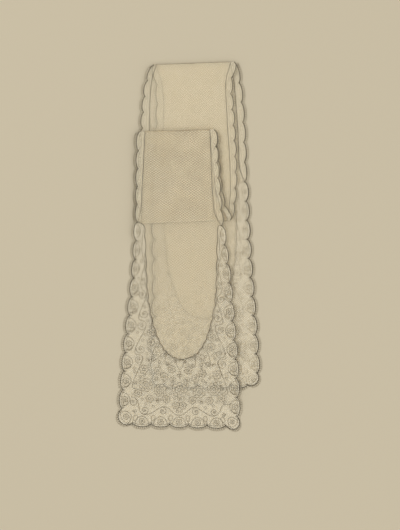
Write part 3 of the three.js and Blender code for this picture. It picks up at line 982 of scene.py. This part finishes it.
SHAPES = dict(
    rosette=rosette, flower=big_flower, spray=spray, scrolls=scrolls, scroll=single_scroll, ring=spot_ring,
    medallion=medallion, tendril=tendril, bud=bud,
)

# Half of a lace end's large flowers: place in scallops from the start, depth, size in mm and turn from
# outwards. The middle of the bottom edge is at 13.5, and the other half mirrors this one.
MOTIFS = [
    ("flower", 13.5, 0.47, 11, 0),
    ("spray", 13.5, 0.24, 6, 180),
    ("flower", 11.85, 0.5, 9, 0),
    ("scrolls", 12.75, 0.36, 8, 0),
    ("flower", 10.5, 0.52, 9.5, 0),
    ("rosette", 9.4, 0.46, 6.5, 0),
]
FILLERS = (("rosette", 5.6), ("scroll", 6.4), ("spray", 5.4), ("bud", 4.6), ("scroll", 4.6), ("ring", 2))
TRIES = 900  # places drawn for each kind of small flower
FILLER_GAPS = (0.5, 1.4)  # that it keeps from other work and from the lace's edges
STEM_GAP = 2.2  # mm that a stem keeps from the seam and from the arches
STEM_SWING = 6  # its swing to each side at most
LEAST_TENDRIL = 1.6  # radius
ARCH_HEIGHT = (0.44, 10.5)  # of the arch in a scallop: share of the lace's width, and the most
ARCH_FROM_NOTCH = 3.6
ARCH_HALF = 9.6  # at most
CORNER_ARCH_OUT = 5


def arch_height(width):
    """How far inside the notches the arch of a scallop reaches, where the lace has this width."""
    share, most = ARCH_HEIGHT
    return np.minimum(share * width, most)


def stem(lace, along, by_seam):
    """Places in plan on a stem that winds along a lace end, beside the arches or beside the seam."""
    along = np.asarray(along, float)
    edge, out = lace.chord(along)
    inward = lace.inner(along) - edge
    width = -(inward * out).sum(1)  # square to the edge
    swing = np.minimum(STEM_SWING, (width - arch_height(width)) / 2 - STEM_GAP)
    wave = swing * np.cos(math.pi * (along - LACE_SCALLOPS / 2))
    if by_seam:
        return lace.spot(along, (STEM_GAP + swing + wave) / width)
    return lace.spot(along, 1 - (arch_height(width) + STEM_GAP + swing - wave) / width)


# The two stems, each with the scallops between which it runs
STEMS = ((False, 0.6), (True, 8.6))


def tendrils(lace, by_seam, first):
    """Curls in the bends of a stem, with their way ahead and their way into the bend."""
    for bend in np.arange(math.ceil(first) + 0.5, LACE_SCALLOPS - first):
        ends, crest = (stem(lace, places, by_seam) for places in ([bend - 0.5, bend + 0.5], [bend]))
        hollow = ends.mean(0) - crest[0]
        radius = min(0.3 * math.dist(*ends), 0.95 * float(np.linalg.norm(hollow)))
        if radius < LEAST_TENDRIL or abs(bend - LACE_SCALLOPS / 2) < 0.4:
            continue
        onward = 1 if bend < LACE_SCALLOPS / 2 else -1
        here, there = stem(lace, [bend - 0.2 * onward, bend - 0.16 * onward], by_seam)
        ahead = unit(there - here)
        yield "tendril", radius, here, ahead, leftward(ahead) * np.sign(leftward(ahead) @ hollow)


def motif_places(lace):
    """Every flower of a lace end: shape, size, middle in plan and its own sideways and outward ways."""
    placed = []

    def put(shape, along, depth, size, turn, mirrored):
        if mirrored:
            along = LACE_SCALLOPS - along
        middle = lace.spot([along], [depth])[0]
        out = lace.outward(along, depth)
        out = turned(out[None], -turn if mirrored else turn)[0]
        placed.append((shape, size, middle, leftward(out) * (1 if mirrored else -1), out))

    for shape, along, depth, size, turn in MOTIFS:
        put(shape, along, depth, size * lace.scale, turn, False)
        if abs(along - LACE_SCALLOPS / 2) > 0.01:
            put(shape, along, depth, size * lace.scale, turn, True)
    for scallop in range(LACE_SCALLOPS):
        base, out = (value[0] for value in lace.chord([scallop + 0.5]))
        pitch = math.dist(lace.notches[scallop], lace.notches[scallop + 1])
        half = min(pitch / 2 - ARCH_FROM_NOTCH, ARCH_HALF)
        height = float(arch_height(depth_margin(lace, scallop + 0.5, 0.999, lace.inner)))
        middle = base + out * (CORNER_ARCH_OUT if scallop in CORNERS else 0)
        placed.append(("medallion", (half, height), middle, -leftward(out), out))
    keep_out = [(middle, OPENING_LENGTH / 2 + 0.6) for middle, _ in lace.openings()]
    for by_seam, first in STEMS:
        placed += tendrils(lace, by_seam, first)
        keep_out += [(spot, 0.8) for spot in stem(lace, np.arange(first, LACE_SCALLOPS - first, 0.07), by_seam)]
    taken = [cover for item in placed for cover in covers(*item)] + keep_out
    draws = np.random.default_rng(7)
    from_work, from_edge = FILLER_GAPS
    for shape, size in FILLERS:
        for along, depth, turn in draws.uniform((0.9, 0.04, 0), (LACE_SCALLOPS / 2, 0.93, 360), (TRIES, 3)):
            middle = lace.spot([along], [depth])[0]
            margin = min(depth_margin(lace, along, depth, edge) for edge in (lace.inner, lace.notch_line))
            free = all(math.dist(middle, spot) > reach + size + from_work for spot, reach in taken)
            if margin > size + from_edge and free:
                put(shape, along, depth, size, turn, False)
                put(shape, along, depth, size, turn, True)
                taken += [(placed[-1][2], size), (placed[-2][2], size)]
    return placed


def covers(shape, size, middle, side, out):
    """Rounds that a flower takes up, as middle and radius."""
    if shape == "tendril":
        return [(middle + out * size, size)]
    if shape == "medallion":
        half, height = size
        inner = middle - out * height * 0.4
        return [(inner + side * half * across, 0.6 * height + 1) for across in (-0.5, 0, 0.5)]
    return [(middle, 0.9 * size)]


def depth_margin(lace, along, depth, edge):
    """Distance from a place to an edge near it."""
    middle = lace.spot([along], [depth])[0]
    near = np.linspace(max(along - 2.5, 0), min(along + 2.5, LACE_SCALLOPS), 26)
    return np.linalg.norm(edge(near) - middle, axis=1).min()


def lace_cloth(lace):
    columns, steps = LACE_GRID
    along = even_scallops(LACE_SCALLOPS, steps)

    def place(u, v):
        here = np.interp(v, np.linspace(0, 1, len(along)), along)
        return on_layer(lace.layer, lace.edge_spot(here, u))

    holes = [opening_outline(*opening) for opening in lace.openings()]
    mesh = grid_mesh(f"{lace.name}_lace", columns, len(along) - 1, place, holes)
    return finish_piece(mesh.name, mesh, [lace_film])


def opening_outline(middle, way, grow=0.0):
    """A drop shape, wider away from its notch."""
    t = full_turn(14)
    x = -(OPENING_LENGTH / 2 + grow) * np.cos(t)
    y = (OPENING_WIDTH / 2 + grow) * (0.75 - 0.25 * np.cos(t)) * 1.25 * np.sin(t)
    return middle + np.outer(x, way) + np.outer(y, leftward(way))


def in_plan(lace, points):
    """Which places in plan lie on the lace and not in its openings."""
    edge, seam = lace.outline(even_scallops(LACE_SCALLOPS, 6)), lace.inner(even_scallops(LACE_SCALLOPS, 4))
    outline = np.vstack([edge, seam[::-1]])
    x, y = points[:, 0], points[:, 1]
    inside = np.zeros(len(points), bool)
    for (ax, ay), (bx, by) in zip(outline, np.roll(outline, -1, axis=0), strict=True):
        crosses = (ay > y) != (by > y)
        with np.errstate(divide="ignore", invalid="ignore"):
            inside ^= crosses & (x < (bx - ax) * (y - ay) / (by - ay) + ax)
    return inside & ~lace.in_opening(points)


def ground_threads(lace):
    """The lace ground's heavier threads, in two slanting sets."""
    low, high = lace.notches.min(0) - 20, lace.notches.max(0) + 20
    height = high[1] - low[1]
    lines = []
    y = np.arange(low[1], high[1], GROUND_THREAD_STEP)
    for sign in (-1, 1):
        slope = sign * math.tan(NET_LEAN)
        sweep = abs(slope) * height
        for start in np.arange(low[0] - sweep, high[0] + sweep, GROUND_STEP / math.cos(NET_LEAN)):
            plan = np.column_stack([start + slope * (y - low[1]), y])
            plan = plan[(plan[:, 0] > low[0]) & (plan[:, 0] < high[0])]
            if len(plan) < 2:
                continue
            for first, last in runs(in_plan(lace, plan)):
                kept = plan[first:last]
                if len(kept) > 2:
                    kept = np.vstack([kept[:-1:3], kept[-1:]])
                    lines.append(on_layer(lace.layer, kept))
    return lines


def lace_threads(lace):
    """All that is worked on the ground of a lace end."""
    fine, by_seam = (even_scallops(LACE_SCALLOPS, steps) for steps in (LACE_LINE_STEPS, SEAM_STEPS))
    front = lace.layer == FRONT
    drawing = motif_thread if front else pale_motif_thread

    def lay(plan):
        return on_layer(lace.layer, plan)

    outline = [lay(lace.outline(fine, -BORDER))]
    seam = [lay(lace.inner(by_seam))]
    second = [
        lay(lace.outline(fine[LACE_LINE_STEPS:-LACE_LINE_STEPS], *SECOND_LINE)),
        lay(lace.inner(by_seam, SEAM_LOOPS)[2 * SEAM_STEPS : -2 * SEAM_STEPS]),
    ]
    bars = []
    for place in np.arange(0, LACE_SCALLOPS, 1 / BARS):
        if 0.05 < place % 1 < 0.95:
            bars.append(lay(np.vstack([lace.outline([place], -BORDER), lace.outline([place], *SECOND_LINE)])))
    loops = [picots(
        lambda places, beyond: lay(lace.outline(places, beyond)),
        0.0, float(LACE_SCALLOPS), PICOT_SLACK[1] * np.linalg.norm(np.diff(lace.notches, axis=0), axis=1).sum(),
    )]
    rims = [(lay(opening_outline(*opening, RIM_GAP)), True) for opening in lace.openings()]
    stems, shapes, plates = [], [], []
    for beside_seam, first in STEMS:
        stems.append(lay(stem(lace, np.arange(first, LACE_SCALLOPS - first + 0.05, 0.1), beside_seam)))
    for shape, size, middle, side, out in motif_places(lace):
        axes = np.array([side, out])
        lines, filled = SHAPES[shape](size)
        laid = [(lay(points @ axes + middle), closed) for points, closed in lines]
        bold = shape in ("medallion", "tendril")
        stems += laid[:bold]
        shapes += laid[bold:]
        plates += [(plate, middle, axes) for plate in filled]
    return joined(f"{lace.name}_lace_work", [
        tubes("outline", outline, CORD if front else BACK_CORD, outline_thread, 6),
        tubes(
            "seam", seam, TIP_SEAM_CORD if front else BACK_TIP_SEAM_CORD,
            outline_thread if front else pale_motif_thread, 6,
        ),
        tubes("second", second, INNER_CORD, dark_cord_and_fold_shade),
        tubes("bars", bars, PICOT_THREAD, ground_thread),
        tubes("rims", rims, RIM_CORD, drawing),
        tubes("loops", loops, PICOT_THREAD, picot_thread),
        tubes("stems", stems, STEM_CORD, drawing),
        tubes("shapes", shapes, MOTIF_CORD, drawing),
        cloth_stitch(lace, plates),
    ])


def cloth_stitch(lace, plates):
    """The filled petals and leaves: small pads with rounded edges."""
    pads = bmesh.new()
    for (length, width, turn, start, *offset), middle, axes in plates:
        verts = bmesh.ops.create_cone(
            pads, cap_ends=True, segments=10, radius1=1, radius2=PAD_TAPER, depth=PAD_HEIGHT * MM
        )["verts"]
        flat = np.array([vert.co[:2] for vert in verts])
        shaped = flat * (width / 2, length / 2) + (0, start + length / 2 if start else 0)
        shaped = turned(shaped, turn) + (offset or (0, 0))
        plan = shaped @ axes + middle
        for vert, spot in zip(verts, on_layer(lace.layer, plan) * MM, strict=True):
            vert.co = (spot[0], spot[1], spot[2] + vert.co.z)
    bmesh.ops.recalc_face_normals(pads, faces=pads.faces[:])
    return finish_piece("pads", mesh_from("pads", pads), [motif_cloth])


# ---- The pieces


def cut_area(mesh):
    """Area of a sheet's cloth, in square metres, from its two faces."""
    return sum(face.area for face in mesh.polygons) / 2


def declare(piece, node, flat):
    """Hide the CAD part that a sheet of cloth stands for. Its area, from its faces and its flat size, is worked out
    and not used.
    """
    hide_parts(node)
    area = min(max(cut_area(piece.data), 0.31 * flat[0] * flat[1]), flat[0] * flat[1])


NET_MADE_OF = [(net_thread, NET_THREAD), (net_thread, NET_THREAD), (turned_thread, 0.25), (front_thread, 0.12)]
for stretch in stretches:
    net = finish_piece(f"{stretch.name}_net", net_cloth(stretch), [net_film])
    finish, radius = NET_MADE_OF[stretch.layer]
    threads = tubes(f"{stretch.name}_net_threads", net_threads(stretch), radius, finish)
    if stretch.fold_share:
        # Dark threads across the fold: painted shade of the fold line
        fold = tubes("fold", fold_shade_lines(stretch), FOLD_SHADE_THREAD, dark_cord_and_fold_shade)
        threads = joined(threads.name, [threads, fold])
    tip = TIP_LENGTH if stretch.lace else 0
    width = float(stretch.width(np.array([0.0, 1.0])).max())
    flat = (width * MM, (stretch.length + stretch.fold_share * stretch.length + tip) * MM)
    declare(net, f"net_{stretch.name}", flat)
    for side in (0, 1):
        cloth = edging_cloth(stretch, side)
        edging = finish_piece(cloth.name, cloth, [lace_film])
        work = edging_threads(stretch, side)
        flat = (EDGING_WIDTH * MM, (stretch.guides[side].length + FOLD_RUN) * MM)
        declare(edging, f"edging_{SIDES[side]}_{stretch.name}", flat)

for lace in laces.values():
    cloth = lace_cloth(lace)
    ground = tubes("ground", ground_threads(lace), NET_THREAD, ground_thread)
    work = lace_threads(lace)
    ground.name = f"{lace.name}_lace_ground"
    box = lace.notches.max(0) - lace.notches.min(0) + ROUND_NOTCHES
    flat = (float(box[0]) * MM, float(box[1]) * MM)
    rests_on = ["floor"] if lace.layer == BACK else ["turn_net", "back_net"]
    declare(cloth, f"lace_{lace.name}", flat)

# ---- Floor, light and camera

FLOOR_REACH = 3  # metres to each side
FLOOR_DROP = 0.1  # mm below the cravat
floor_finish = Finish("floor", Roughness=0.95, Specular_IOR_Level=0.1)
floor_finish.shader.inputs["Base Color"].default_value = srgb(196, 186, 163)
floor_shape = bmesh.new()
bmesh.ops.create_grid(floor_shape, x_segments=1, y_segments=1, size=FLOOR_REACH)
bmesh.ops.translate(floor_shape, verts=floor_shape.verts[:], vec=(0, 0, -FLOOR_DROP * MM))
floor = in_scene("floor", mesh_from("floor", floor_shape))
floor.data.materials.append(floor_finish.material)


def area_light(name, place, size, power, colour):
    data = bpy.data.lights.new(name, "AREA")
    data.energy, data.size, data.color = power, size, colour
    light = in_scene(name, data)
    light.location = place
    light.rotation_mode = "QUATERNION"
    light.rotation_quaternion = (-Vector(place)).to_track_quat("-Z", "Y")


WARM_WHITE = (1, 0.985, 0.96)
area_light("window", (-1.3, 1.1, 1.6), 1.6, 8, WARM_WHITE)
area_light("fill", (1.5, -1.2, 1.8), 1.8, 8, (1, 0.99, 0.97))
world = bpy.data.worlds.new("room")
world.use_nodes = True
room = world.node_tree.nodes["Background"].inputs
room["Color"].default_value = (*WARM_WHITE, 1)
room["Strength"].default_value = 0.9
bpy.context.scene.world = world
bpy.context.scene.view_settings.view_transform = "Standard"
bpy.context.scene.cycles.transparent_max_bounces = 64  # light passes many meshes of the pile
bpy.context.scene.cycles.diffuse_bounces = 8

PIXEL = 1.4  # mm of the cravat in one pixel of the photograph
PICTURE = (400, 530)
ORIGIN_AT = (189, 248)  # the pixel at which the tables' own zero lies
LENS = 100
camera_data = bpy.data.cameras.new("camera")
camera_data.lens = LENS
camera_data.clip_end = 20
camera = in_scene("camera", camera_data)
aim = (np.array(PICTURE) / 2 - ORIGIN_AT) * (1, -1) * PIXEL + ORIGIN
camera.location = (*(aim * MM), PICTURE[1] * PIXEL * MM * LENS / camera_data.sensor_width)
bpy.context.scene.camera = camera
